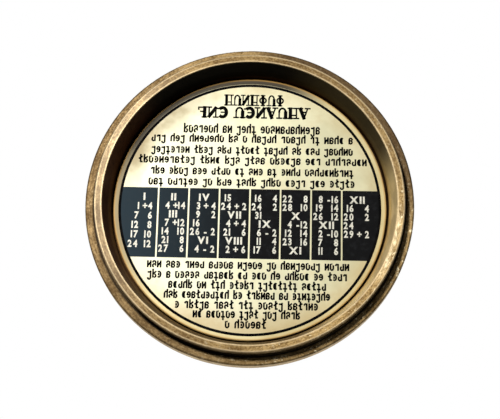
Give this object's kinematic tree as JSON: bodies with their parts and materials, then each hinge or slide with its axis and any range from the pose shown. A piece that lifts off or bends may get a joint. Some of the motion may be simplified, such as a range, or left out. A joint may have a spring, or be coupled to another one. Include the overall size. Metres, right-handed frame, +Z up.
{
  "type": "pocket sundial",
  "caption": "Round pocket sundial: turned case with foot ring and etched underside plate, glazed compass, hour ring, and a folding, latitude-adjustable gnomon with a bird.",
  "frame": {"origin": "centre of the foot ring on the plane that it rests on", "axes": "+Z up through the dial, +Y north along the gnomon, +X east; the etched plate faces -Z"},
  "size_m": [0.075, 0.075, 0.0476],
  "materials": {
    "case_brass": "turned and antiqued, mottled patina",
    "plate_brass": "etched, pale, lacquered, black enamel in the etching",
    "dial_brass": "brushed, engraved, black filled",
    "fitting_brass": "satin, lightly tarnished",
    "steel": "satin",
    "blued_steel": "blued",
    "jewel": "polished",
    "card_paper": "printed, matt",
    "adhesive": "matt",
    "gasket": "matt",
    "glass": "clear, polished"
  },
  "bodies": {
    "case": {"case_body": "case_brass", "instruction_plate": "plate_brass", "plate_adhesive": "adhesive", "compass_card": "card_paper", "pivot_post": "fitting_brass", "pivot_pin": "steel", "glass_gasket": "gasket", "compass_glass": "glass", "hour_ring": "dial_brass", "hour_ring_screws": "fitting_brass", "hinge_lug_north": "fitting_brass", "hinge_lug_south": "fitting_brass", "lug_screws": "steel"},
    "needle_unit": {"needle": "blued_steel", "needle_cap": "fitting_brass", "cap_jewel": "jewel", "balance_clip": "fitting_brass"},
    "bracket": {"gnomon_bar": "fitting_brass", "hinge_pins": "steel", "blade_rivet": "steel", "blade_washers": "fitting_brass", "bird_east": "fitting_brass", "bird_west": "fitting_brass", "bird_rivets": "steel"},
    "blade": {"gnomon_blade": "dial_brass"}
  },
  "joints": [
    {"name": "gnomon_fold", "type": "hinge", "parent": "case", "child": "bracket", "pos_m": [0, 0, 0.0204], "axis": [0, 1, 0], "range_deg": [0, 90]},
    {"name": "latitude_tilt", "type": "hinge", "parent": "bracket", "child": "blade", "pos_m": [0, -0.019, 0.0216], "axis": [1, 0, 0], "range_deg": [-10, 10]},
    {"name": "needle_swing", "type": "hinge", "parent": "case", "child": "needle_unit", "pos_m": [0, 0, 0.0125], "axis": [0, 0, 1], "continuous": true}
  ]
}
